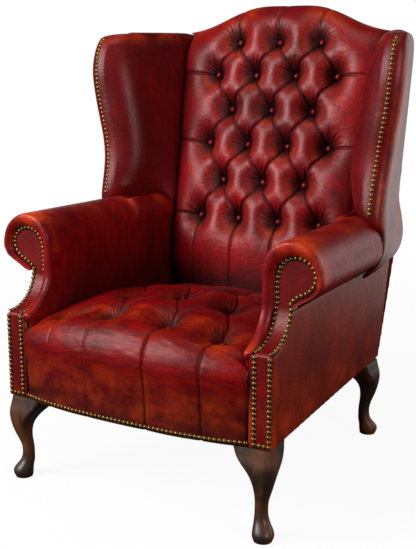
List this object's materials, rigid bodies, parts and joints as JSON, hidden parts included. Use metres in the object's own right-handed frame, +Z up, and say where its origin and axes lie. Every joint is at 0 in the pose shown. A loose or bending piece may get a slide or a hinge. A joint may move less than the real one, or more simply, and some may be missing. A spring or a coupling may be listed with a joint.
{
  "type": "chesterfield wing chair",
  "caption": "High-backed tufted leather armchair with wings, rolled arms, nail trim and cabriole legs, for one sitter.",
  "frame": {"origin": "middle of the chair's footprint box, on the floor", "axes": "+Z up, the chair faces -Y, +X to the right of someone who stands in front and looks at it; left_ pieces are at -X and right_ pieces at +X"},
  "size_m": [0.86, 0.863, 1.124],
  "materials": {
    "leather": "glossy",
    "leg_wood": "polished",
    "brass_nails": "antique",
    "frame_wood": "sawn",
    "cloth": "woven",
    "padding": "felted",
    "steel": "plain"
  },
  "bodies": {
    "root": {"back_buttons": "leather", "back_pad": "padding", "back_webbing": "cloth", "corner_blocks": "frame_wood", "crest_rail": "frame_wood", "dust_cover": "cloth", "front_border_nails": "brass_nails", "front_rail": "frame_wood", "inside_back_cover": "leather", "left_arm_facing": "leather", "left_arm_pad": "padding", "left_arm_rail": "frame_wood", "left_back_liner": "frame_wood", "left_facing_nails": "brass_nails", "left_front_leg": "leg_wood", "left_front_post": "frame_wood", "left_inside_arm_cover": "leather", "left_inside_wing_cover": "leather", "left_outside_arm_panel": "leather", "left_outside_wing_panel": "leather", "left_rear_leg": "leg_wood", "left_rear_upright": "frame_wood", "left_scroll_board": "frame_wood", "left_side_rail": "frame_wood", "left_wing_frame": "frame_wood", "left_wing_nails": "brass_nails", "left_wing_pad": "padding", "leg_bolts": "steel", "lower_back_rail": "frame_wood", "outside_back_panel": "leather", "rear_rail": "frame_wood", "right_arm_facing": "leather", "right_arm_pad": "padding", "right_arm_rail": "frame_wood", "right_back_liner": "frame_wood", "right_facing_nails": "brass_nails", "right_front_leg": "leg_wood", "right_front_post": "frame_wood", "right_inside_arm_cover": "leather", "right_inside_wing_cover": "leather", "right_outside_arm_panel": "leather", "right_outside_wing_panel": "leather", "right_rear_leg": "leg_wood", "right_rear_upright": "frame_wood", "right_scroll_board": "frame_wood", "right_side_rail": "frame_wood", "right_wing_frame": "frame_wood", "right_wing_nails": "brass_nails", "right_wing_pad": "padding", "seat_buttons": "leather", "seat_cover": "leather", "seat_hessian": "cloth", "seat_pad": "padding", "seat_springs": "steel", "spring_clips": "steel"}
  },
  "joints": []
}
